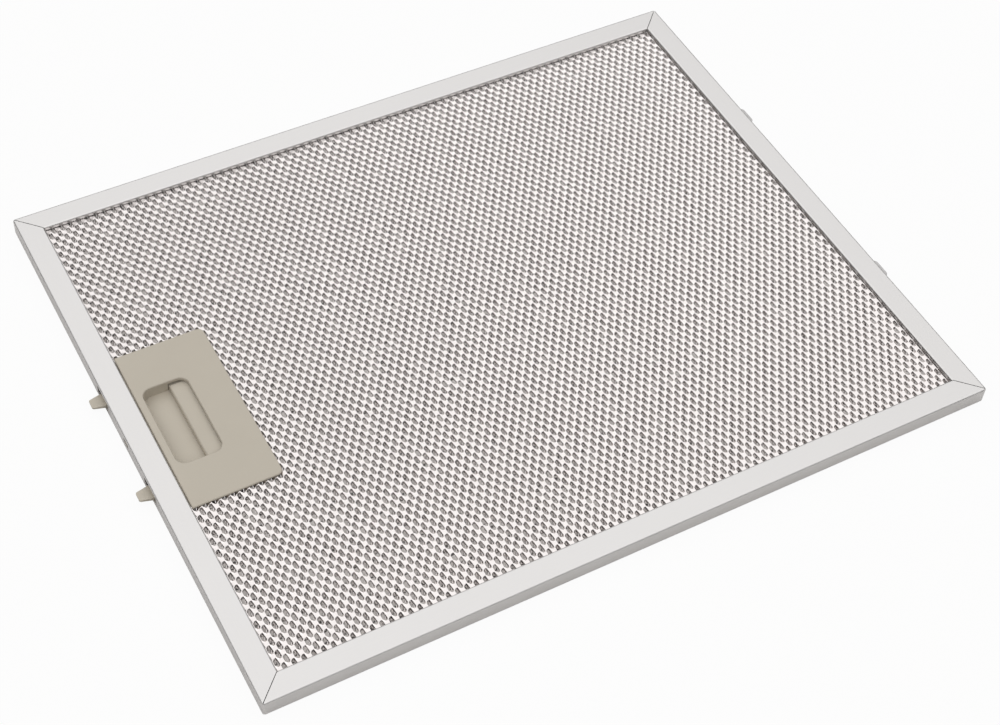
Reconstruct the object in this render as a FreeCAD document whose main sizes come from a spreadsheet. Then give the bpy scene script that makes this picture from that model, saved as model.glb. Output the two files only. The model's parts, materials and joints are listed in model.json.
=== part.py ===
# Cooker hood grease filter: a folded aluminium frame, a pack of expanded metal and a sprung plastic latch.
# Millimetres. The filter lies on its back: the origin is the middle of the frame on its lower face, +X runs
# along the long side from the latch to the fixed lugs, and +Z points out of the face that the cook sees.
import FreeCAD, Part
import math
import os

import Sketcher

# Driving dimensions. Latch places along X are distances from the outside of the frame's latch-side wall.
DIMENSIONS = {
    # Frame: a channel with turned-in lips, folded from one strip
    "frame_length": 320.0,
    "frame_width": 260.0,
    "frame_depth": 7.9,
    "strip": 0.5,
    "flange": 10.4,
    "lip_drop": 1.8,
    "lip_radius": 0.8,
    "bend_radius": 0.9,
    "corner_radius": 1.2,
    "mitre_gap": 0.3,
    "mitre_stop": 0.6,
    # Mesh pack: five equal layers between the lips, with a diamond lattice drawn at a coarse pitch
    "layers": 5.0,
    "pack_margin": 1.8,
    "face_pitch_x": 28.0,
    "face_pitch_y": 42.0,
    "mat_pitch_x": 72.0,
    "mat_pitch_y": 60.0,
    "crest_width": 3.0,
    "strand_width": 7.0,
    "notch_reach": 46.5,
    "notch_half": 38.5,
    # Latch housing
    "plate_start": 10.8,
    "plate_reach": 48.7,
    "plate_half": 40.75,
    "plate_top": 6.8,
    "plate_under": 5.2,
    "plate_corner": 2.7,
    "plate_edge": 0.6,
    "window_edge": 0.3,
    "core_reach": 46.2,
    "core_half": 38.2,
    "wall": 1.5,
    "window_start": 14.0,
    "window_end": 33.0,
    "window_half": 20.2,
    "window_corner": 4.0,
    "well_wall": 1.2,
    "well_end": 25.5,
    "guide_end": 23.0,
    "guide_near": 28.4,
    "guide_far": 29.6,
    "arm_gate": 3.5,
    "bridge_low": 4.4,
    "bridge_top": 5.8,
    "bridge_start": 0.8,
    "bridge_half": 33.0,
    "nose_start": 0.05,
    "nose_half": 1.5,
    "post_half": 1.5,
    "post_low": 0.6,
    "post_inner": 42.0,
    "post_outer": 15.5,
    "post_side": 33.0,
    # Latch cover
    "cover_low": 0.4,
    "cover_top": 1.3,
    "cover_edge": 0.4,
    "post_gap": 0.05,
    # Latch slider
    "slider_low": 1.6,
    "cross_top": 3.9,
    "cross_end": 36.0,
    "bar_start": 25.8,
    "bar_half": 19.5,
    "bar_top": 4.6,
    "bar_round": 1.0,
    "tongue_side": 24.9,
    "tongue_base": 6.4,
    "tongue_tip": 4.2,
    "tongue_reach": 5.2,
    "tongue_top": 4.0,
    "tongue_thick": 1.4,
    "tongue_ramp": 0.7,
    "tongue_round": 0.8,
    "peg_half": 0.7,
    "peg_length": 2.4,
    # Latch springs
    "spring_side": 10.0,
    "spring_height": 3.1,
    "spring_radius": 1.4,
    "spring_wire": 0.4,
    "spring_turns": 5.0,
    "spring_facets": 6.0,
    "spring_gap": 0.15,
    # Slots in the latch-side wall
    "tongue_slot_half": 5.7,
    "tongue_slot_low": 2.4,
    "tongue_slot_top": 6.8,
    "nose_slot_half": 2.2,
    "nose_slot_low": 3.4,
    "nose_slot_top": 6.4,
    # Locating lugs
    "lug_side": 52.8,
    "lug_half": 5.0,
    "lug_reach": 4.3,
    "lug_low": 1.8,
    "lug_top": 2.8,
    "lug_leg_half": 7.0,
    "lug_leg_top": 7.0,
    "lug_round": 2.0,
    "lug_bend": 0.6,
    "lug_slot_gap": 0.2,
}

SIDES = (("far", 1), ("near", -1))
CORNERS = ((-1, -1), (1, -1), (1, 1), (-1, 1))
CLOSE = 1e-4

doc = FreeCAD.newDocument("grease_filter")
sheet = doc.addObject("Spreadsheet::Sheet", "Sizes")
for row, (alias, number) in enumerate(DIMENSIONS.items(), start=1):
    sheet.set(f"A{row}", alias)
    sheet.set(f"B{row}", str(number))
    sheet.setAlias(f"B{row}", alias)
doc.recompute()


def size(expression):
    """The number that an expression on the sheet gives."""
    return float(sheet.evalExpression(expression))


def of_sheet(alias):
    return f"Sizes.{alias}"


def from_wall(alias):
    """X of a place given by its distance from the outside of the latch-side wall."""
    return f"({of_sheet(alias)} - {of_sheet('frame_length')} / 2)"


def layer_level(count):
    """Z of the top of the given number of mesh layers."""
    step = f"({of_sheet('frame_depth')} - 2 * {of_sheet('lip_drop')}) / {of_sheet('layers')}"
    return f"({of_sheet('lip_drop')} + {count} * {step})"


HALF_LENGTH = f"({of_sheet('frame_length')} / 2)"
HALF_WIDTH = f"({of_sheet('frame_width')} / 2)"
MID_DEPTH = f"({of_sheet('frame_depth')} / 2)"


def new_body(label):
    body = doc.addObject("PartDesign::Body", label)
    body.Label = label
    return body


def new_sketch(body, name, role, offset=None):
    """A sketch on one of the body's own origin planes, moved along the plane's normal by an expression."""
    plane = next(item for item in body.Origin.OriginFeatures if item.Role == role)
    sketch = body.newObject("Sketcher::SketchObject", name)
    sketch.AttachmentSupport = [(plane, "")]
    sketch.MapMode = "FlatFace"
    if offset:
        sketch.setExpression("AttachmentOffset.Base.z", offset)
    return sketch


def pin_point(sketch, geometry, point, place):
    """Hold a sketch point at a pair of sheet expressions."""
    for kind, expression in zip(("DistanceX", "DistanceY"), place):
        index = sketch.addConstraint(Sketcher.Constraint(kind, -1, 1, geometry, point, size(expression)))
        sketch.setExpression(f"Constraints[{index}]", expression)


def outline(sketch, corners):
    """A closed polygon whose corners are pairs of sheet expressions."""
    places = [FreeCAD.Vector(size(across), size(up), 0) for across, up in corners]
    ends = places[1:] + places[:1]
    lines = [sketch.addGeometry(Part.LineSegment(*pair), False) for pair in zip(places, ends)]
    for line, following in zip(lines, lines[1:] + lines[:1]):
        sketch.addConstraint(Sketcher.Constraint("Coincident", line, 2, following, 1))
    for line, corner in zip(lines, corners):
        pin_point(sketch, line, 1, corner)


def rectangle(sketch, left, right, low, high):
    outline(sketch, [(left, low), (right, low), (right, high), (left, high)])


def rounded_rectangle(sketch, left, right, low, high, radius):
    """A rectangle with round corners: four arcs at pinned centres and the lines that touch them."""
    reach = size(radius)
    xs = (f"{left} + {radius}", f"{right} - {radius}")
    ys = (f"{low} + {radius}", f"{high} - {radius}")
    centres = [(xs[0], ys[0]), (xs[1], ys[0]), (xs[1], ys[1]), (xs[0], ys[1])]
    arcs, ends = [], []
    for quarter, place in enumerate(centres, start=2):
        middle = FreeCAD.Vector(size(place[0]), size(place[1]), 0)
        ring = Part.Circle(middle, FreeCAD.Vector(0, 0, 1), reach)
        turn = quarter * math.pi / 2
        arc = Part.ArcOfCircle(ring, turn, turn + math.pi / 2)
        arcs.append(sketch.addGeometry(arc, False))
        ends.append((arc.StartPoint, arc.EndPoint))
        pin_point(sketch, arcs[-1], 3, place)
        index = sketch.addConstraint(Sketcher.Constraint("Radius", arcs[-1], reach))
        sketch.setExpression(f"Constraints[{index}]", radius)
    for corner, following in zip(range(4), (1, 2, 3, 0)):
        line = sketch.addGeometry(Part.LineSegment(ends[corner][1], ends[following][0]), False)
        sketch.addConstraint(Sketcher.Constraint("Tangent", arcs[corner], 2, line, 1))
        sketch.addConstraint(Sketcher.Constraint("Tangent", line, 2, arcs[following], 1))


def square(sketch, centre, half):
    across, up = centre
    rectangle(sketch, f"{across} - {half}", f"{across} + {half}", f"{up} - {half}", f"{up} + {half}")


def settle(feature):
    """Work a new feature out, and stop if it has failed."""
    doc.recompute()
    if "Invalid" in feature.State or "Error" in feature.State or feature.Shape.isNull():
        raise RuntimeError(f"{feature.Name} failed: {feature.getStatusString()}")
    return feature


def pad(body, sketch, length):
    feature = body.newObject("PartDesign::Pad", f"{sketch.Name}_pad")
    feature.Profile = sketch
    feature.setExpression("Length", length)
    return settle(feature)


def pocket(body, sketch, length=None, upward=False, symmetric=False):
    """Cut a sketch out of the body, through everything if no length is given."""
    before = body.Shape.Volume
    feature = body.newObject("PartDesign::Pocket", f"{sketch.Name}_cut")
    feature.Profile = sketch
    feature.Reversed = upward
    if symmetric:
        feature.SideType = "Symmetric"
    if length:
        feature.setExpression("Length", length)
    else:
        feature.Type = "ThroughAll"
    settle(feature)
    if body.Shape.Volume > before - CLOSE:
        raise RuntimeError(f"{feature.Name} cuts nothing")
    return feature


def dress_edges(body, name, kind, wanted):
    """A fillet or chamfer on the edges of the body's last feature that a test on each edge picks."""
    base = body.Tip
    picked = [f"Edge{number}" for number, edge in enumerate(base.Shape.Edges, start=1) if wanted(edge)]
    if not picked:
        raise RuntimeError(f"{name} finds no edge")
    feature = body.newObject(f"PartDesign::{kind}", name)
    feature.Base = (base, picked)
    return feature


def round_edges(body, name, radius, wanted):
    feature = dress_edges(body, name, "Fillet", wanted)
    feature.setExpression("Radius", radius)
    return settle(feature)


def bevel_edges(body, name, width, wanted):
    feature = dress_edges(body, name, "Chamfer", wanted)
    feature.setExpression("Size", width)
    return settle(feature)


def is_upright(edge):
    box = edge.BoundBox
    return box.XLength < CLOSE and box.YLength < CLOSE


def is_level(edge, height):
    box = edge.BoundBox
    return abs(box.ZMin - height) < CLOSE and abs(box.ZMax - height) < CLOSE


def stands_at(edge, across, depth):
    """True for an upright edge at the given X and Y, either side of the middle in Y."""
    centre = edge.BoundBox.Center
    return is_upright(edge) and abs(centre.x - across) < CLOSE and abs(abs(centre.y) - depth) < CLOSE


def make_frame():
    body = new_body("frame")
    sheet_half = [HALF_LENGTH, HALF_WIDTH]
    window_half = [f"({half} - {of_sheet('flange')})" for half in sheet_half]
    inside_half = [f"({half} - {of_sheet('strip')})" for half in sheet_half]
    lip_half = [f"({half} + {of_sheet('strip')})" for half in window_half]

    def centred(sketch, halves):
        rectangle(sketch, f"-{halves[0]}", halves[0], f"-{halves[1]}", halves[1])

    blank = new_sketch(body, "frame_blank", "XY_Plane")
    centred(blank, sheet_half)
    pad(body, blank, of_sheet("frame_depth"))
    round_edges(body, "frame_corners", of_sheet("corner_radius"), is_upright)
    depth = size(of_sheet("frame_depth"))
    round_edges(
        body, "frame_bends", of_sheet("bend_radius"), lambda edge: is_level(edge, 0) or is_level(edge, depth)
    )

    window = new_sketch(body, "frame_window", "XY_Plane")
    centred(window, window_half)
    pocket(body, window, upward=True)
    reach = [size(half) + CLOSE for half in window_half]

    def is_lip_edge(edge):
        box = edge.BoundBox
        inside_x = max(abs(box.XMin), abs(box.XMax)) < reach[0]
        inside_y = max(abs(box.YMin), abs(box.YMax)) < reach[1]
        return inside_x and inside_y and (is_level(edge, 0) or is_level(edge, depth))

    round_edges(body, "lip_bends", of_sheet("lip_radius"), is_lip_edge)

    hollow = new_sketch(body, "frame_hollow", "XY_Plane", MID_DEPTH)
    centred(hollow, inside_half)
    centred(hollow, lip_half)
    pocket(body, hollow, f"{of_sheet('frame_depth')} - 2 * {of_sheet('strip')}", symmetric=True)

    throat = new_sketch(body, "lip_throat", "XY_Plane", MID_DEPTH)
    centred(throat, lip_half)
    pocket(body, throat, f"{of_sheet('frame_depth')} - 2 * {of_sheet('lip_drop')}", symmetric=True)

    # The strip's two ends meet at the far lug-side corner, where the slit runs out through the wall.
    mitres = new_sketch(body, "mitre_slits", "XY_Plane")
    for side_x, side_y in CORNERS:
        is_seam = side_x > 0 and side_y > 0
        stop = f"(-{of_sheet('mitre_stop')})" if is_seam else of_sheet("mitre_stop")
        start = f"({of_sheet('flange')} + {of_sheet('mitre_stop')})"
        shift = f"({of_sheet('mitre_gap')} / (2 * sqrt(2)))"
        outline(
            mitres,
            [
                (
                    f"{side_x} * ({HALF_LENGTH} - {inset}) + {turn} * {shift}",
                    f"{side_y} * ({HALF_WIDTH} - {inset}) - {turn * side_x * side_y} * {shift}",
                )
                for inset, turn in ((start, 1), (start, -1), (stop, -1), (stop, 1))
            ],
        )
    pocket(body, mitres, upward=True)

    latch_slots = new_sketch(body, "latch_slots", "YZ_Plane", f"-{HALF_LENGTH}")
    for _, side in SIDES:
        centre = f"{side} * {of_sheet('tongue_side')}"
        rectangle(
            latch_slots,
            f"{centre} - {of_sheet('tongue_slot_half')}",
            f"{centre} + {of_sheet('tongue_slot_half')}",
            of_sheet("tongue_slot_low"),
            of_sheet("tongue_slot_top"),
        )
    rectangle(
        latch_slots,
        f"-{of_sheet('nose_slot_half')}",
        of_sheet("nose_slot_half"),
        of_sheet("nose_slot_low"),
        of_sheet("nose_slot_top"),
    )
    pocket(body, latch_slots, f"2 * {of_sheet('strip')}", upward=True)

    lug_slots = new_sketch(body, "lug_slots", "YZ_Plane", HALF_LENGTH)
    for _, side in SIDES:
        centre = f"{side} * {of_sheet('lug_side')}"
        rectangle(
            lug_slots,
            f"{centre} - {of_sheet('lug_half')} - {of_sheet('lug_slot_gap')}",
            f"{centre} + {of_sheet('lug_half')} + {of_sheet('lug_slot_gap')}",
            f"{of_sheet('lug_low')} - {of_sheet('lug_slot_gap')}",
            f"{of_sheet('lug_top')} + {of_sheet('lug_slot_gap')}",
        )
    pocket(body, lug_slots, f"2 * {of_sheet('strip')}")
    return body


def gap_solid(centre, mouths):
    """A diamond gap that narrows between two levels, from its half diagonals and height at each."""
    across, up = centre
    rings = [
        [
            FreeCAD.Vector(across - half_x, up, level),
            FreeCAD.Vector(across, up - half_y, level),
            FreeCAD.Vector(across + half_x, up, level),
            FreeCAD.Vector(across, up + half_y, level),
        ]
        for half_x, half_y, level in mouths
    ]
    outlines = list(rings)
    for corner, following in zip(range(4), (1, 2, 3, 0)):
        upper, lower = rings
        outlines.append([upper[corner], upper[following], lower[following], lower[corner]])
    solid = Part.Solid(Part.Shell([Part.Face(Part.makePolygon(ring + ring[:1])) for ring in outlines]))
    if solid.Volume < 0:
        solid.reverse()
    return solid


def make_sheet(label, layer, pitch, columns, rows, crest_up):
    """One layer of the pack: a wide field and two arms beside the latch, with staggered diamond gaps."""
    low, high = layer_level(layer), layer_level(layer + 1)
    pitch_x, pitch_y = (size(of_sheet(alias)) for alias in pitch)
    levels = (size(high), size(low)) if crest_up else (size(low), size(high))
    mouths = []
    for width, level in zip(("crest_width", "strand_width"), levels):
        share = 1 - size(of_sheet(width)) * math.hypot(1 / pitch_x, 1 / pitch_y)
        mouths.append((share * pitch_x / 2, share * pitch_y / 2, level))
    solids = []
    for less in (1, 2):
        for column in range(columns - less + 1):
            for row in range(rows - less + 1):
                centre = (pitch_x * (column - (columns - less) / 2), pitch_y * (row - (rows - less) / 2))
                solids.append(gap_solid(centre, mouths))
    gaps = doc.addObject("Part::Feature", f"{label}_gaps")
    gaps.Shape = Part.makeCompound(solids)

    half_x = f"({HALF_LENGTH} - {of_sheet('pack_margin')})"
    half_y = f"({HALF_WIDTH} - {of_sheet('pack_margin')})"
    notch, notch_half = from_wall("notch_reach"), of_sheet("notch_half")
    areas = {
        "field": (notch, half_x, f"-{half_y}", half_y),
        "arm_far": (f"-{half_x}", notch, notch_half, half_y),
        "arm_near": (f"-{half_x}", notch, f"-{half_y}", f"-{notch_half}"),
    }
    pieces = []
    for place, sides in areas.items():
        blank = new_body(f"{label}_{place}_blank")
        edge = new_sketch(blank, f"{label}_{place}_edge", "XY_Plane", low)
        rectangle(edge, *sides)
        pad(blank, edge, f"{high} - {low}")
        cut = doc.addObject("Part::Cut", f"{label}_{place}")
        cut.Base = blank
        cut.Tool = gaps
        pieces.append(settle(cut))
    sheet = doc.addObject("Part::Compound", label)
    sheet.Label = label
    sheet.Links = pieces
    return settle(sheet)


def make_housing():
    body = new_body("latch_housing")
    start, reach, half = from_wall("plate_start"), from_wall("plate_reach"), of_sheet("plate_half")
    core, core_half, wall = from_wall("core_reach"), of_sheet("core_half"), of_sheet("wall")
    floor, roof, top = of_sheet("cover_top"), of_sheet("plate_under"), of_sheet("plate_top")
    pack_top = layer_level(int(DIMENSIONS["layers"]))
    tongue = of_sheet("tongue_side")

    plate = new_sketch(body, "housing_plate", "XY_Plane", pack_top)
    rectangle(plate, start, reach, f"-{half}", half)
    pad(body, plate, f"{top} - {pack_top}")
    round_edges(
        body,
        "plate_corners",
        of_sheet("plate_corner"),
        lambda edge: stands_at(edge, size(reach), size(half)),
    )
    skirt = new_sketch(body, "housing_core", "XY_Plane", floor)
    rectangle(skirt, start, core, f"-{core_half}", core_half)
    pad(body, skirt, f"{pack_top} - {floor}")
    chamber = new_sketch(body, "housing_chamber", "XY_Plane", floor)
    chamber_half = f"({core_half} - {wall})"
    rectangle(chamber, f"{start} + {wall}", f"{core} - {wall}", f"-{chamber_half}", chamber_half)
    pocket(body, chamber, f"{roof} - {floor}", upward=True)

    well_start = f"({from_wall('window_start')} - {of_sheet('well_wall')})"
    well_half = f"({of_sheet('window_half')} + {of_sheet('well_wall')})"
    inner = new_sketch(body, "housing_inside", "XY_Plane", floor)
    rectangle(inner, well_start, from_wall("well_end"), f"-{well_half}", well_half)
    for _, side in SIDES:
        rectangle(
            inner,
            f"{start} + {wall} / 2",
            from_wall("guide_end"),
            f"{side} * {of_sheet('guide_near')}",
            f"{side} * {of_sheet('guide_far')}",
        )
    pad(body, inner, f"{roof} - {floor}")
    round_edges(
        body,
        "well_outside",
        f"{of_sheet('window_corner')} + {of_sheet('well_wall')}",
        lambda edge: stands_at(edge, size(well_start), size(well_half)),
    )
    posts = new_sketch(body, "housing_posts", "XY_Plane", of_sheet("post_low"))
    for place in ("post_outer", "post_inner"):
        for _, side in SIDES:
            square(posts, (from_wall(place), f"{side} * {of_sheet('post_side')}"), of_sheet("post_half"))
    pad(body, posts, f"{roof} - {of_sheet('post_low')}")

    gates = new_sketch(body, "arm_gates", "XY_Plane", floor)
    for _, side in SIDES:
        rectangle(
            gates,
            f"{start} - {wall}",
            f"{start} + {wall}",
            f"{side} * {tongue} - {of_sheet('arm_gate')}",
            f"{side} * {tongue} + {of_sheet('arm_gate')}",
        )
    pocket(body, gates, f"{of_sheet('bridge_low')} - {floor}", upward=True)

    # The bridge passes between the frame's lips, and its nose snaps into the frame's outer wall.
    bridge = new_sketch(body, "housing_bridge", "XY_Plane", of_sheet("bridge_low"))
    nose, neck = of_sheet("nose_half"), from_wall("bridge_start")
    bridge_half = of_sheet("bridge_half")
    outline(
        bridge,
        [
            (f"{start} + {wall}", f"-{bridge_half}"),
            (f"{start} + {wall}", bridge_half),
            (neck, bridge_half),
            (neck, nose),
            (from_wall("nose_start"), nose),
            (from_wall("nose_start"), f"-{nose}"),
            (neck, f"-{nose}"),
            (neck, f"-{bridge_half}"),
        ],
    )
    pad(body, bridge, f"{of_sheet('bridge_top')} - {of_sheet('bridge_low')}")

    window = new_sketch(body, "finger_window", "XY_Plane", top)
    window_half = of_sheet("window_half")
    rounded_rectangle(
        window,
        from_wall("window_start"),
        from_wall("window_end"),
        f"-{window_half}",
        window_half,
        of_sheet("window_corner"),
    )
    pocket(body, window)
    top_at, window_side = size(top), size(window_half) + CLOSE

    def is_window_edge(edge):
        box = edge.BoundBox
        within = max(abs(box.YMin), abs(box.YMax)) < window_side and box.XMin > size(start) + CLOSE
        return is_level(edge, top_at) and within and box.XMax < size(reach) - CLOSE

    bevel_edges(body, "window_edges", of_sheet("window_edge"), is_window_edge)
    far_side = size(half) - size(of_sheet("plate_corner"))
    round_edges(
        body,
        "plate_edges",
        of_sheet("plate_edge"),
        lambda edge: is_level(edge, top_at) and edge.Length > far_side,
    )
    return body


def make_cover():
    body = new_body("latch_cover")
    start, reach, half = from_wall("plate_start"), from_wall("plate_reach"), of_sheet("plate_half")
    rim, rim_half = from_wall("notch_reach"), of_sheet("notch_half")
    low, top = of_sheet("cover_low"), of_sheet("cover_top")
    plate = new_sketch(body, "cover_plate", "XY_Plane", low)
    rectangle(plate, start, reach, f"-{half}", half)
    pad(body, plate, f"{top} - {low}")
    lip = new_sketch(body, "cover_rim", "XY_Plane", top)
    outline(
        lip,
        [
            (start, f"-{half}"),
            (reach, f"-{half}"),
            (reach, half),
            (start, half),
            (start, rim_half),
            (rim, rim_half),
            (rim, f"-{rim_half}"),
            (start, f"-{rim_half}"),
        ],
    )
    pad(body, lip, f"{layer_level(0)} - {top}")
    round_edges(
        body,
        "cover_corners",
        of_sheet("plate_corner"),
        lambda edge: stands_at(edge, size(reach), size(half)),
    )
    bevel_edges(body, "cover_edges", of_sheet("cover_edge"), lambda edge: is_level(edge, size(low)))
    holes = new_sketch(body, "post_holes", "XY_Plane", top)
    hole_half = f"({of_sheet('post_half')} + {of_sheet('post_gap')})"
    for place in ("post_outer", "post_inner"):
        for _, side in SIDES:
            square(holes, (from_wall(place), f"{side} * {of_sheet('post_side')}"), hole_half)
    pocket(body, holes)
    return body


def make_slider():
    body = new_body("latch_slider")
    low, start, end = of_sheet("slider_low"), from_wall("bar_start"), from_wall("cross_end")
    tongue_low = f"({of_sheet('tongue_top')} - {of_sheet('tongue_thick')})"
    tip = f"(-{HALF_LENGTH} - {of_sheet('tongue_reach')})"
    outer = f"({of_sheet('tongue_side')} + {of_sheet('tongue_base')} / 2)"

    cross = new_sketch(body, "slider_cross", "XY_Plane", low)
    rectangle(cross, start, end, f"-{outer}", outer)
    pad(body, cross, f"{of_sheet('cross_top')} - {low}")
    grip = new_sketch(body, "slider_grip", "XY_Plane", low)
    rectangle(grip, start, end, f"-{of_sheet('bar_half')}", of_sheet("bar_half"))
    pad(body, grip, f"{of_sheet('bar_top')} - {low}")
    bar_edge = size(start)
    bar_top = size(of_sheet("bar_top"))
    round_edges(
        body,
        "grip_round",
        of_sheet("bar_round"),
        lambda edge: is_level(edge, bar_top) and abs(edge.BoundBox.XMax - bar_edge) < CLOSE,
    )

    arms = new_sketch(body, "slider_arms", "XY_Plane", tongue_low)
    for _, side in SIDES:
        centre = f"{side} * {of_sheet('tongue_side')}"
        base, nib = f"{of_sheet('tongue_base')} / 2", f"{of_sheet('tongue_tip')} / 2"
        outline(
            arms,
            [
                (f"{start} + {of_sheet('wall')}", f"{centre} - {base}"),
                (f"{start} + {of_sheet('wall')}", f"{centre} + {base}"),
                (f"-{HALF_LENGTH}", f"{centre} + {base}"),
                (tip, f"{centre} + {nib}"),
                (tip, f"{centre} - {nib}"),
                (f"-{HALF_LENGTH}", f"{centre} - {base}"),
            ],
        )
    pad(body, arms, of_sheet("tongue_thick"))
    tip_at = size(tip)
    round_edges(
        body,
        "tongue_corners",
        of_sheet("tongue_round"),
        lambda edge: is_upright(edge) and abs(edge.BoundBox.Center.x - tip_at) < CLOSE,
    )
    ramp = new_sketch(body, "tongue_ramps", "XZ_Plane")
    clear = of_sheet("tongue_ramp")
    outline(
        ramp,
        [
            (f"-{HALF_LENGTH}", tongue_low),
            (f"{tip} - {clear}", f"{tongue_low} + {clear}"),
            (f"{tip} - {clear}", f"{tongue_low} - {clear}"),
            (f"-{HALF_LENGTH}", f"{tongue_low} - {clear}"),
        ],
    )
    pocket(body, ramp, f"4 * {outer}", symmetric=True)

    pegs = new_sketch(body, "spring_pegs", "YZ_Plane", end)
    for _, side in SIDES:
        square(
            pegs,
            (f"{side} * {of_sheet('spring_side')}", of_sheet("spring_height")),
            of_sheet("peg_half"),
        )
    pad(body, pegs, of_sheet("peg_length"))
    return body


def make_spring(label, side):
    """A coil spring about its own X axis, bent in short straight steps from square wire."""
    radius, wire = size(of_sheet("spring_radius")), size(of_sheet("spring_wire"))
    facets, turns = int(size(of_sheet("spring_facets"))), size(of_sheet("spring_turns"))
    start, gap = size(from_wall("cross_end")), size(of_sheet("spring_gap"))
    length = size(from_wall("core_reach")) - size(of_sheet("wall")) - start - 2 * gap - wire
    steps = int(facets * turns)
    path = [
        FreeCAD.Vector(
            wire / 2 + length * step / steps,
            radius * math.cos(2 * math.pi * step / facets),
            radius * math.sin(2 * math.pi * step / facets),
        )
        for step in range(steps + 1)
    ]
    section = [path[0] + FreeCAD.Vector(wire / 2 * along, wire / 2 * out, 0) for along, out in CORNERS]
    sweep = Part.BRepOffsetAPI.MakePipeShell(Part.makePolygon(path))
    sweep.setTransitionMode(1)
    sweep.add(Part.makePolygon(section + section[:1]))
    sweep.build()
    sweep.makeSolid()
    coil = doc.addObject("Part::Feature", label)
    coil.Label = label
    coil.Shape = sweep.shape()
    coil.Placement.Base = FreeCAD.Vector(
        start + gap, side * size(of_sheet("spring_side")), size(of_sheet("spring_height"))
    )
    return coil


def make_lug(label, side):
    """A bent tab: its leg lies against the inside of the wall, and its foot stands out through a slot."""
    body = new_body(label)
    centre = f"{side} * {of_sheet('lug_side')}"
    inside = f"({HALF_LENGTH} - {of_sheet('strip')})"
    thick = f"({of_sheet('lug_top')} - {of_sheet('lug_low')})"
    leg = new_sketch(body, f"{label}_leg", "YZ_Plane", f"{inside} - {thick}")
    leg_half, low, leg_top = of_sheet("lug_leg_half"), of_sheet("lug_low"), of_sheet("lug_leg_top")
    rectangle(leg, f"{centre} - {leg_half}", f"{centre} + {leg_half}", low, leg_top)
    pad(body, leg, thick)
    foot = new_sketch(body, f"{label}_foot", "XY_Plane", low)
    half, tip = of_sheet("lug_half"), f"({HALF_LENGTH} + {of_sheet('lug_reach')})"
    rectangle(foot, f"{inside} - {thick}", tip, f"{centre} - {half}", f"{centre} + {half}")
    pad(body, foot, thick)
    tip_at, heel_at = size(tip), size(f"{inside} - {thick}")
    round_edges(
        body,
        f"{label}_tip",
        of_sheet("lug_round"),
        lambda edge: is_upright(edge) and abs(edge.BoundBox.Center.x - tip_at) < CLOSE,
    )
    low_at = size(low)
    round_edges(
        body,
        f"{label}_bend",
        of_sheet("lug_bend"),
        lambda edge: is_level(edge, low_at) and abs(edge.BoundBox.XMax - heel_at) < CLOSE,
    )
    return body


parts = [make_frame(), make_housing(), make_cover(), make_slider()]
# Each layer from the back to the face: its pitches along X and Y, its columns and rows, and whether its
# crests face up.
LAYERS = (
    ("back_mesh", ("face_pitch_x", "face_pitch_y"), 11, 6, False),
    ("inner_mat_1", ("mat_pitch_x", "mat_pitch_y"), 4, 4, False),
    ("inner_mat_2", ("mat_pitch_y", "mat_pitch_y"), 5, 4, True),
    ("inner_mat_3", ("mat_pitch_x", "mat_pitch_y"), 4, 4, True),
    ("face_mesh", ("face_pitch_x", "face_pitch_y"), 11, 6, True),
)
SHEET_SOLIDS = 3
for layer, (name, pitch, columns, rows, crest_up) in enumerate(LAYERS):
    parts.append(make_sheet(name, layer, pitch, columns, rows, crest_up))
for name, side in SIDES:
    parts.append(make_spring(f"latch_spring_{name}", side))
    parts.append(make_lug(f"locating_lug_{name}", side))
doc.recompute()

for item in doc.Objects:
    if "Invalid" in item.State or "Error" in item.State:
        raise RuntimeError(f"{item.Name} failed: {item.State}")
sheets = [name for name, *_ in LAYERS]
for part in parts:
    wanted = SHEET_SOLIDS if part.Label in sheets else 1
    if part.Shape.isNull() or not part.Shape.isValid() or len(part.Shape.Solids) != wanted:
        raise RuntimeError(f"{part.Label} is not made of {wanted} valid solids")

os.makedirs("parts", exist_ok=True)
for part in parts:
    part.Shape.exportStep(f"parts/{part.Label}.step")
    print(f"{part.Label}: {part.Shape.Volume:.1f} cubic mm")
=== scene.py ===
# Cooker hood grease filter: looks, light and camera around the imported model. Metres, +Z up.
import json
import math
from dataclasses import dataclass

import bpy
import numpy as np
from mathutils import Matrix, Vector


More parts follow.
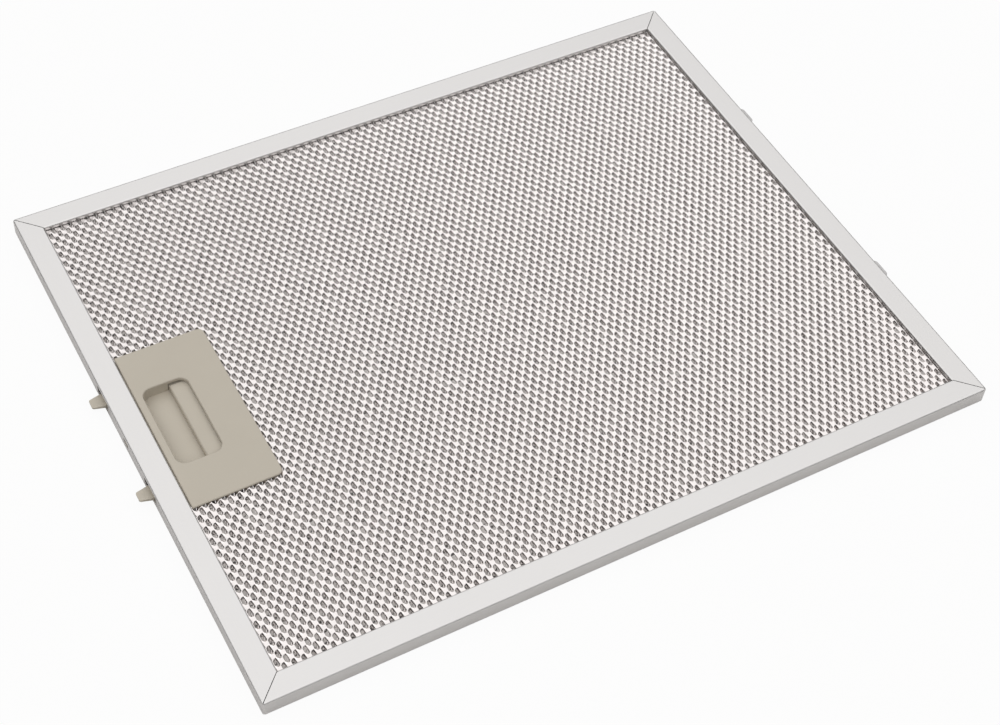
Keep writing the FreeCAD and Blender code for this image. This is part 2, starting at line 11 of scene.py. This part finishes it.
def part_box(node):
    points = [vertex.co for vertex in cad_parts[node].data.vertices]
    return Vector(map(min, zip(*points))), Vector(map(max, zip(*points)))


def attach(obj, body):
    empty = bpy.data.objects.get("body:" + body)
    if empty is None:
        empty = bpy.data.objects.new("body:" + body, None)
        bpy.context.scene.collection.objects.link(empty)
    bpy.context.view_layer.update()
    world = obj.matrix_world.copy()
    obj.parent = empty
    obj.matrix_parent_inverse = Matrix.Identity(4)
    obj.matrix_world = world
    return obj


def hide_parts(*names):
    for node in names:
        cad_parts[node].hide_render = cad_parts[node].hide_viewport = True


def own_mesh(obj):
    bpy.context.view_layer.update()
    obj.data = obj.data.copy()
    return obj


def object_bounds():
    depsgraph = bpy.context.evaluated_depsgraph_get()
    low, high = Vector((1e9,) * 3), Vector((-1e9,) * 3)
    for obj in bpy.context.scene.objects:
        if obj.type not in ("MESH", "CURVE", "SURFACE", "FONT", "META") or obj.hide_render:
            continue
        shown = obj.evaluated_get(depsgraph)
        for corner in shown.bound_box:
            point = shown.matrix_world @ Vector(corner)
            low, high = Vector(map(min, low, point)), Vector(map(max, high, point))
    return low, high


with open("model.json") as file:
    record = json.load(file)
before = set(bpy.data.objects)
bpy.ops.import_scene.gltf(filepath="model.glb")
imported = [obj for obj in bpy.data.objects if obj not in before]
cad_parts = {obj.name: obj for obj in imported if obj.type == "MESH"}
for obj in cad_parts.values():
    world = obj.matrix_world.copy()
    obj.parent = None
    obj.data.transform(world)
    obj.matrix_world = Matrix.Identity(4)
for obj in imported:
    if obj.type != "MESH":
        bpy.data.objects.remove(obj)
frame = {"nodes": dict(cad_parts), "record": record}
CAD_LOW, CAD_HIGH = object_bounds()

MM = 0.001
SEED = 41
WHITE = (1, 1, 1, 1)

# Camera of the photograph, in a frame of 1000 by 725 pixels with the axis through its middle
CAMERA_PLACE = Vector((-0.2673, -0.4427, 0.5965))
CAMERA_AIM = Vector((-0.0080, -0.0248, 0.0))
CAMERA_ROLL = math.radians(4.37)
CAMERA_LENS = 67.93
CAMERA_SENSOR = 36.0
CAMERA_CLIP = 0.01

# Light from all round: a ray's height, from 0 at the horizon to 1 overhead, takes it from dim to bright
HORIZON_EDGE, CEILING_EDGE = 0.25, 0.66
HORIZON_LIGHT, CEILING_LIGHT = 0.04, 1.11

# Floor, and how far it is lifted to white where the camera sees it
FLOOR_HALF = 3.0
FLOOR_GAP = 0.02 * MM
FLOOR_COLOUR = (0.72, 0.71, 0.7)
FLOOR_LIFT = 0.94

# The notch that the latch leaves in the mesh pack, from the outside of the latch-side wall
NOTCH_REACH = 46.5 * MM
NOTCH_HALF = 38.5 * MM
LATCH_WALL = -160.0 * MM

# Latch springs, between the slider and the inner wall of the housing
SPRING_RADIUS = 1.4 * MM
SPRING_WIRE = 0.4 * MM
SPRING_TURNS = 5
SPRING_STEPS = 28
SPRING_SIDES = 10

# Faces that meet along a sharper line than this keep it
PLAIN_CREASE = math.radians(50)
STRAND_CREASE = math.radians(28.5)

# Expanded metal: points across a strip, how unlike its slopes are, and the outer sheets' depth in their nodes
PLACES = 4
SLOPE_SPREAD = 0.06
CLEAR = 0.2 * MM
BACK_SEED = SEED + 1
MAT_SEED = SEED + 10


@dataclass
class Lip:
    """A strip's free edge: how far its crease, foot and end are from the bond, and how far it droops."""

    crease: float
    foot: float
    edge: float
    droop: float


@dataclass
class Expanded:
    """One kind of expanded metal: strips along Y, each bonded by turns to the next one on either side.

    The ways are the pitch across and along the strips. strand is a strip's width at the ends of a bond,
    waist its width halfway along, and rise how far it climbs over the strand's width. The lips are those at
    the near end, halfway and at the far end of a bond. scatter shifts single bonds, and crumple waves the
    whole sheet.
    """

    short_way: float
    long_way: float
    strand: float
    waist: float
    bond: float
    rise: float
    near_lip: Lip
    waist_lip: Lip
    far_lip: Lip
    scatter: float
    crumple: float


FACE_METAL = Expanded(
    short_way=3.876 * MM,
    long_way=5.77 * MM,
    strand=1.06 * MM,
    waist=0.96 * MM,
    bond=2.0 * MM,
    rise=0.2 * MM,
    near_lip=Lip(crease=0.8 * MM, foot=1.38 * MM, edge=1.66 * MM, droop=0.95 * MM),
    waist_lip=Lip(crease=0.885 * MM, foot=1.2 * MM, edge=1.4 * MM, droop=0.06 * MM),
    far_lip=Lip(crease=0.97 * MM, foot=1.44 * MM, edge=1.7 * MM, droop=1.0 * MM),
    scatter=0.03 * MM,
    crumple=0.06 * MM,
)
MAT_METAL = Expanded(
    short_way=4.4 * MM,
    long_way=6.4 * MM,
    strand=1.75 * MM,
    waist=1.7 * MM,
    bond=2.2 * MM,
    rise=0.12 * MM,
    near_lip=Lip(crease=0.9 * MM, foot=1.4 * MM, edge=1.75 * MM, droop=0.15 * MM),
    waist_lip=Lip(crease=0.9 * MM, foot=1.3 * MM, edge=1.7 * MM, droop=0.0 * MM),
    far_lip=Lip(crease=0.9 * MM, foot=1.4 * MM, edge=1.75 * MM, droop=0.15 * MM),
    scatter=0.3 * MM,
    crumple=0.1 * MM,
)


@dataclass
class Finish:
    """The ranges that a skin's patterns run through: colour and roughness, and the depth of its grain."""

    dark: tuple
    light: tuple
    smooth: float
    rough: float
    depth: float


ROLLED = Finish((0.705, 0.69, 0.68), (0.78, 0.765, 0.755), smooth=0.35, rough=0.45, depth=0.012 * MM)
BRIGHT = Finish((0.79, 0.745, 0.73), (0.94, 0.895, 0.88), smooth=0.16, rough=0.34, depth=0.02 * MM)
DULL = Finish((0.6, 0.572, 0.553), (0.7, 0.672, 0.652), smooth=0.75, rough=0.9, depth=0.03 * MM)
MOULDED = Finish((0.5, 0.453, 0.377), (0.533, 0.484, 0.403), smooth=0.44, rough=0.6, depth=0.022 * MM)
PLATED = Finish((0.49, 0.478, 0.474), (0.59, 0.578, 0.573), smooth=0.32, rough=0.48, depth=0.01 * MM)
DRAWN = Finish((0.42, 0.42, 0.42), (0.58, 0.58, 0.57), smooth=0.24, rough=0.38, depth=0.004 * MM)


@dataclass
class Softbox:
    """A lamp with a rectangular face, turned to the middle of the filter."""

    name: str
    place: Vector
    width: float
    depth: float
    power: float


SOFTBOXES = (
    Softbox("key_softbox", Vector((-0.8, -0.3, 1.5)), width=1.0, depth=1.0, power=1.5),
    Softbox("back_softbox", Vector((0.85, 1.85, 1.7)), width=1.6, depth=1.0, power=0.8),
)


class Paint:
    """A material with its Principled shader and short ways to add nodes to it."""

    def __init__(self, name, finish, metallic):
        self.material = bpy.data.materials.new(name)
        self.material.use_nodes = True
        self.nodes = self.material.node_tree.nodes
        self.links = self.material.node_tree.links
        self.finish = finish
        self.shader = next(node for node in self.nodes if node.type == "BSDF_PRINCIPLED")
        self.shader.inputs["Metallic"].default_value = metallic
        self.place = self.node("ShaderNodeTexCoord").outputs["Object"]

    def node(self, kind, **settings):
        made = self.nodes.new(kind)
        for name, value in settings.items():
            setattr(made, name, value)
        return made

    def feed(self, socket, value):
        """Set a socket to a number, or wire another node's output to it."""
        if isinstance(value, (int, float)):
            socket.default_value = value
        else:
            self.links.new(value, socket)

    def math(self, operation, *values):
        made = self.node("ShaderNodeMath", operation=operation)
        for socket, value in zip(made.inputs, values):
            self.feed(socket, value)
        return made.outputs[0]

    def mix(self, first, second, share):
        """A pattern between two others, with the second one's share from 0 to 1."""
        made = self.node("ShaderNodeMix", data_type="FLOAT")
        for name, value in (("Factor", share), ("A", first), ("B", second)):
            self.feed(made.inputs[name], value)
        return made.outputs["Result"]

    def noise(self, place, scale=1.0, detail=3.0, rough=0.55):
        made = self.node("ShaderNodeTexNoise")
        for name, value in (("Vector", place), ("Scale", scale), ("Detail", detail), ("Roughness", rough)):
            self.feed(made.inputs[name], value)
        return made.outputs["Fac"]

    def lines(self, scale_x, scale_y, scale_z):
        """Noise at a scale of its own on each axis, long where the scale is small."""
        mapping = self.node("ShaderNodeMapping")
        mapping.inputs["Scale"].default_value = (scale_x, scale_y, scale_z)
        self.feed(mapping.inputs["Vector"], self.place)
        return self.noise(mapping.outputs[0])

    def skin(self, tone, gloss, grain):
        """Run the finish from dark to light by tone and smooth to rough by gloss, and raise it by grain."""
        tint = self.node("ShaderNodeMix", data_type="RGBA")
        dark, light = (socket for socket in tint.inputs if socket.type == "RGBA")
        dark.default_value = (*self.finish.dark, 1)
        light.default_value = (*self.finish.light, 1)
        self.feed(tint.inputs["Factor"], tone)
        colour = next(socket for socket in tint.outputs if socket.type == "RGBA")
        self.feed(self.shader.inputs["Base Color"], colour)
        roughness = self.node("ShaderNodeMapRange")
        roughness.inputs["To Min"].default_value = self.finish.smooth
        roughness.inputs["To Max"].default_value = self.finish.rough
        self.feed(roughness.inputs["Value"], gloss)
        self.feed(self.shader.inputs["Roughness"], roughness.outputs[0])
        bump = self.node("ShaderNodeBump")
        bump.inputs["Strength"].default_value = 1.0
        bump.inputs["Distance"].default_value = self.finish.depth
        self.feed(bump.inputs["Height"], grain)
        self.feed(self.shader.inputs["Normal"], bump.outputs["Normal"])


def frame_aluminium():
    """Rolled strip: fine lines along the strip, which turn with it at the mitred corners."""
    paint = Paint("rolled_aluminium", ROLLED, metallic=1.0)
    along, across = 60, 4200
    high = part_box("frame")[1]
    place = paint.node("ShaderNodeSeparateXYZ")
    paint.feed(place.inputs[0], paint.place)
    from_end = paint.math("SUBTRACT", high.x, paint.math("ABSOLUTE", place.outputs["X"]))
    from_side = paint.math("SUBTRACT", high.y, paint.math("ABSOLUTE", place.outputs["Y"]))
    on_end = paint.math("LESS_THAN", from_end, from_side)
    lines_x = paint.lines(along, across, across)
    lines_y = paint.lines(across, along, across)
    lines = paint.mix(lines_x, lines_y, share=on_end)
    tone = paint.mix(lines, paint.noise(paint.place, scale=38.0), share=0.45)
    paint.skin(tone=tone, gloss=tone, grain=lines)
    return paint.material


def mesh_aluminium():
    """Bright expanded sheet, each strand a little different from the next."""
    paint = Paint("expanded_aluminium", BRIGHT, metallic=1.0)
    strand = paint.noise(paint.place, scale=420.0)
    tone = paint.mix(strand, paint.noise(paint.place, scale=16.0), share=0.3)
    paint.skin(tone=tone, gloss=strand, grain=paint.noise(paint.place, scale=2600.0))
    return paint.material


def mat_aluminium():
    """Duller crumpled foil mesh."""
    paint = Paint("mat_foil", DULL, metallic=1.0)
    tone = paint.noise(paint.place, scale=240.0)
    paint.skin(tone=tone, gloss=tone, grain=paint.noise(paint.place, scale=1800.0))
    return paint.material


def latch_plastic():
    """Moulded warm grey plastic with a fine spark-eroded skin."""
    paint = Paint("moulded_plastic", MOULDED, metallic=0.0)
    grain = paint.noise(paint.place, scale=5200.0, detail=2.0)
    paint.skin(tone=paint.noise(paint.place, scale=60.0), gloss=grain, grain=grain)
    return paint.material


def lug_steel():
    """Zinc-plated sheet steel with faint spangle."""
    paint = Paint("zinc_plated_steel", PLATED, metallic=1.0)
    spangle = paint.node("ShaderNodeTexVoronoi")
    spangle.inputs["Scale"].default_value = 700.0
    paint.feed(spangle.inputs["Vector"], paint.place)
    gloss = paint.noise(paint.place, scale=900.0)
    grain = paint.noise(paint.place, scale=2400.0)
    paint.skin(tone=spangle.outputs["Distance"], gloss=gloss, grain=grain)
    return paint.material


def spring_steel():
    """Drawn spring wire with fine lines along it."""
    paint = Paint("spring_wire", DRAWN, metallic=1.0)
    along, across = 2500, 9000
    lines = paint.lines(across, along, along)
    paint.skin(tone=lines, gloss=lines, grain=lines)
    return paint.material


MATERIALS = {
    "frame_aluminium": frame_aluminium(),
    "mesh_aluminium": mesh_aluminium(),
    "mat_aluminium": mat_aluminium(),
    "latch_plastic": latch_plastic(),
    "spring_steel": spring_steel(),
    "lug_steel": lug_steel(),
}
SLOT_OF = {row["node"]: row["material_slot"] for row in frame["record"]["subparts"]}


def dress(piece, material):
    """Give every slot of an object the material, on the object and not on its mesh."""
    if not piece.material_slots:
        piece.data.materials.append(material)
    for holder in piece.material_slots:
        holder.link = "OBJECT"
        holder.material = material


def mesh_piece(name, points, quads, crease=PLAIN_CREASE):
    """A new object from points and four-cornered faces, smooth except across sharp edges."""
    mesh = bpy.data.meshes.new(name)
    mesh.vertices.add(len(points))
    mesh.vertices.foreach_set("co", points.astype(np.float32).ravel())
    mesh.loops.add(quads.size)
    mesh.loops.foreach_set("vertex_index", quads.astype(np.int32).ravel())
    mesh.polygons.add(len(quads))
    mesh.polygons.foreach_set("loop_start", np.arange(0, quads.size, 4, dtype=np.int32))
    mesh.update(calc_edges=True)
    mesh.shade_smooth()
    mesh.set_sharp_from_angle(angle=crease)
    piece = bpy.data.objects.new(name, mesh)
    bpy.context.scene.collection.objects.link(piece)
    return piece


def ripple(points, height, seed, waves=14, shortest=7 * MM, longest=26 * MM):
    """A seeded sum of gentle waves over points in X and Y."""
    dice = np.random.default_rng(seed)
    lengths = dice.uniform(shortest, longest, waves)
    turns = dice.uniform(0, math.tau, waves)
    phases = dice.uniform(0, math.tau, waves)
    along = points[:, :1] * np.cos(turns) + points[:, 1:2] * np.sin(turns)
    return height * np.sin(math.tau * along / lengths + phases).sum(axis=1) / math.sqrt(waves / 2)


def strip_points(kind, half_x, half_y, seed):
    """Points of the strips, and which of their bonds are on the right and so have a lip on the left.

    The points go by strip, bond, section (near end, middle and far end of the bond) and place across.
    """
    strips = math.ceil(2 * half_x / kind.short_way)
    bonds = math.ceil(2 * half_y / kind.long_way)
    strip, bond = np.mgrid[-strips : strips + 1, -bonds : bonds + 1]
    bonded_right = (strip + bond) % 2 == 0
    side = np.where(bonded_right, 1, -1)
    # The two strips of a bond share its place and slope
    dice = np.random.default_rng(seed)
    shared = (strip + strips + bonded_right, bond + bonds)
    grid = (strip.shape[0] + 1, strip.shape[1])
    shift = dice.normal(0, kind.scatter / 2, (*grid, 3)).clip(-kind.scatter, kind.scatter)[shared]
    slope = (kind.rise / kind.strand * dice.normal(1, SLOPE_SPREAD, grid))[shared]
    bond_x = strip * kind.short_way / 2 + side * kind.short_way / 4
    bond_y = bond * kind.long_way / 2
    sections = (
        (-1, kind.strand, kind.near_lip),
        (0, kind.waist, kind.waist_lip),
        (1, kind.strand, kind.far_lip),
    )
    points = np.zeros((*strip.shape, len(sections), PLACES, 3))
    for section, (end, width, lip) in enumerate(sections):
        lip_places = ((lip.edge, lip.droop), (lip.foot, lip.droop), (lip.crease, 0), (0, 0))
        for place, (left, drop) in enumerate(lip_places):
            across = np.where(bonded_right, -left, width * place / (PLACES - 1))
            height = slope * across.clip(-width, width) - np.where(bonded_right, drop, 0)
            spot = (bond_x + across, bond_y + end * kind.bond / 2, height)
            points[:, :, section, place] = np.stack(spot, axis=-1) + shift
    return points, bonded_right


def bands(first, second):
    """Four-cornered faces between two rows of numbered points, from each place across to the next."""
    ring = (first[:, :-1], first[:, 1:], second[:, 1:], second[:, :-1])
    return np.stack(ring, axis=-1).reshape(-1, 4)


def strip_faces(numbers, bonded_right):
    """Faces over the numbers of the strips' points: bonds with a lip, plain bonds, and strands between."""
    start, waist, end = np.moveaxis(numbers[bonded_right], 1, 0)
    plain_start, _, plain_end = np.moveaxis(numbers[~bonded_right], 1, 0)
    from_end = numbers[:, :-1, -1].reshape(-1, PLACES)
    to_start = numbers[:, 1:, 0].reshape(-1, PLACES)
    # A lip runs from its edge over the foot to the crease, and the flat part from there to the bond
    lip, flat = slice(0, 3), slice(2, PLACES)
    rows = (
        (start[:, lip], waist[:, lip]),
        (waist[:, lip], end[:, lip]),
        (start[:, flat], end[:, flat]),
        (plain_start, plain_end),
        (from_end, to_start),
    )
    return np.concatenate([bands(first, second) for first, second in rows])


def expanded_sheet(name, node, slot, kind, facing, turned, level, seed):
    """A sheet of expanded metal in place of a node of the pack.

    facing is 1 for a sheet whose lips droop down and -1 for up. A turned sheet has its strips along X.
    """
    low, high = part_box(node)
    half_x, half_y = (high.x - low.x) / 2, (high.y - low.y) / 2
    if turned:
        half_x, half_y = half_y, half_x
    points, bonded_right = strip_points(kind, half_x, half_y, seed)
    numbers = np.arange(points[..., 0].size).reshape(points.shape[:4])
    points = points.reshape(-1, 3)
    inside = (np.abs(points[:, 0]) < half_x) & (np.abs(points[:, 1]) < half_y)
    lengthways, crossways = points[:, [1, 0]].T if turned else points[:, :2].T
    in_notch = (lengthways < LATCH_WALL + NOTCH_REACH) & (np.abs(crossways) < NOTCH_HALF)
    quads = strip_faces(numbers, bonded_right)
    quads = quads[(inside & ~in_notch)[quads].all(axis=1)]
    used, quads = np.unique(quads, return_inverse=True)
    points, quads = points[used], quads.reshape(-1, 4)
    points[:, 2] = level + facing * points[:, 2] + ripple(points, kind.crumple, seed)
    if turned:
        points = points[:, [1, 0, 2]]
    if turned != (facing < 0):
        quads = quads[:, ::-1]
    piece = mesh_piece(name, points, quads, STRAND_CREASE)
    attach(piece, "filter")
    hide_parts(node)
    dress(piece, MATERIALS[slot])


def coil_spring(name, node):
    """A round-wire coil in place of a spring node."""
    low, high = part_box(node)
    middle = (low + high) / 2
    length = high.x - low.x - SPRING_WIRE
    half_wire = SPRING_WIRE / 2
    turn = np.linspace(0, math.tau * SPRING_TURNS, SPRING_TURNS * SPRING_STEPS + 1)[:, None]
    around = np.linspace(0, math.tau, SPRING_SIDES, endpoint=False)[None, :]
    along = low.x + half_wire + length * turn / turn[-1] + half_wire * np.sin(around)
    reach = SPRING_RADIUS + half_wire * np.cos(around)
    points = np.stack([along, middle.y + reach * np.cos(turn), middle.z + reach * np.sin(turn)], axis=-1)
    step, side = np.indices((len(turn) - 1, SPRING_SIDES))
    after = (side + 1) % SPRING_SIDES
    ring, next_ring = step * SPRING_SIDES, (step + 1) * SPRING_SIDES
    quads = np.stack([ring + side, ring + after, next_ring + after, next_ring + side], axis=-1)
    piece = mesh_piece(name, points.reshape(-1, 3), quads.reshape(-1, 4))
    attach(piece, "filter")
    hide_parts(node)
    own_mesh(piece)
    dress(piece, MATERIALS["spring_steel"])


def make_camera():
    """The photograph's camera, rolled a little out of level."""
    forward = (CAMERA_AIM - CAMERA_PLACE).normalized()
    level_right = forward.cross(Vector((0, 0, 1))).normalized()
    level_up = level_right.cross(forward)
    right = level_right * math.cos(CAMERA_ROLL) + level_up * math.sin(CAMERA_ROLL)
    up = level_up * math.cos(CAMERA_ROLL) - level_right * math.sin(CAMERA_ROLL)
    data = bpy.data.cameras.new("photo_camera")
    data.sensor_width = CAMERA_SENSOR
    data.lens = CAMERA_LENS
    data.clip_start = CAMERA_CLIP
    camera = bpy.data.objects.new("photo_camera", data)
    turn = Matrix((right, up, -forward)).transposed().to_4x4()
    camera.matrix_world = Matrix.Translation(CAMERA_PLACE) @ turn
    bpy.context.scene.collection.objects.link(camera)
    bpy.context.scene.camera = camera


def make_lamp(softbox):
    data = bpy.data.lights.new(softbox.name, "AREA")
    data.shape = "RECTANGLE"
    data.size, data.size_y = softbox.width, softbox.depth
    data.energy = softbox.power
    lamp = bpy.data.objects.new(softbox.name, data)
    lamp.location = softbox.place
    lamp.rotation_euler = (-softbox.place).to_track_quat("-Z", "Y").to_euler()
    bpy.context.scene.collection.objects.link(lamp)


def make_world():
    """A bright ceiling over a dim horizon, and white behind the object."""
    world = bpy.data.worlds.new("studio")
    bpy.context.scene.world = world
    world.use_nodes = True
    nodes, links = world.node_tree.nodes, world.node_tree.links
    nodes.clear()
    ray = nodes.new("ShaderNodeSeparateXYZ")
    links.new(nodes.new("ShaderNodeTexCoord").outputs["Generated"], ray.inputs[0])
    ceiling = nodes.new("ShaderNodeMapRange")
    ceiling.interpolation_type = "SMOOTHSTEP"
    ceiling.inputs["From Min"].default_value = HORIZON_EDGE
    ceiling.inputs["From Max"].default_value = CEILING_EDGE
    ceiling.inputs["To Min"].default_value = HORIZON_LIGHT
    ceiling.inputs["To Max"].default_value = CEILING_LIGHT
    links.new(ray.outputs["Z"], ceiling.inputs["Value"])
    room = nodes.new("ShaderNodeBackground")
    room.inputs["Color"].default_value = WHITE
    links.new(ceiling.outputs[0], room.inputs["Strength"])
    backdrop = nodes.new("ShaderNodeBackground")
    backdrop.inputs["Color"].default_value = WHITE
    seen = nodes.new("ShaderNodeMixShader")
    links.new(nodes.new("ShaderNodeLightPath").outputs["Is Camera Ray"], seen.inputs["Fac"])
    links.new(room.outputs[0], seen.inputs[1])
    links.new(backdrop.outputs[0], seen.inputs[2])
    links.new(seen.outputs[0], nodes.new("ShaderNodeOutputWorld").inputs["Surface"])


def make_floor():
    """A pale matt floor, lifted to white where the camera sees it so that only a soft shadow shows."""
    corners = ((-1, -1, 0), (1, -1, 0), (1, 1, 0), (-1, 1, 0))
    floor = mesh_piece("floor", FLOOR_HALF * np.array(corners), np.array([[0, 1, 2, 3]]))
    floor.location.z = CAD_LOW.z - FLOOR_GAP
    material = bpy.data.materials.new("pale_floor")
    material.use_nodes = True
    nodes, links = material.node_tree.nodes, material.node_tree.links
    nodes.clear()
    lift = nodes.new("ShaderNodeMath")
    lift.operation = "MULTIPLY"
    lift.inputs[1].default_value = FLOOR_LIFT
    links.new(nodes.new("ShaderNodeLightPath").outputs["Is Camera Ray"], lift.inputs[0])
    matt = nodes.new("ShaderNodeBsdfDiffuse")
    matt.inputs["Color"].default_value = (*FLOOR_COLOUR, 1)
    glow = nodes.new("ShaderNodeEmission")
    glow.inputs["Color"].default_value = WHITE
    seen = nodes.new("ShaderNodeMixShader")
    links.new(lift.outputs[0], seen.inputs["Fac"])
    links.new(matt.outputs[0], seen.inputs[1])
    links.new(glow.outputs[0], seen.inputs[2])
    links.new(seen.outputs[0], nodes.new("ShaderNodeOutputMaterial").inputs["Surface"])
    floor.data.materials.append(material)


for node_name, piece in frame["nodes"].items():
    dress(piece, MATERIALS[SLOT_OF[node_name]])

# Bonds of the face rise away from the latch side, and those of the back mirror them
FACE_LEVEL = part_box("face_mesh")[1].z - FACE_METAL.rise - CLEAR
BACK_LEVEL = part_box("back_mesh")[0].z + FACE_METAL.rise + CLEAR
expanded_sheet("face_mesh_fine", "face_mesh", "mesh_aluminium", FACE_METAL, 1, False, FACE_LEVEL, SEED)
expanded_sheet("back_mesh_fine", "back_mesh", "mesh_aluminium", FACE_METAL, -1, False, BACK_LEVEL, BACK_SEED)
for number, facing, turned in ((1, -1, True), (2, 1, False), (3, 1, True)):
    mat = f"inner_mat_{number}"
    level = (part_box(mat)[0].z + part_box(mat)[1].z) / 2
    expanded_sheet(f"{mat}_foil", mat, "mat_aluminium", MAT_METAL, facing, turned, level, MAT_SEED + number)
for side in ("far", "near"):
    coil_spring(f"latch_coil_{side}", f"latch_spring_{side}")

bpy.context.scene.view_settings.view_transform = "Standard"
make_camera()
make_world()
make_floor()
for softbox in SOFTBOXES:
    make_lamp(softbox)
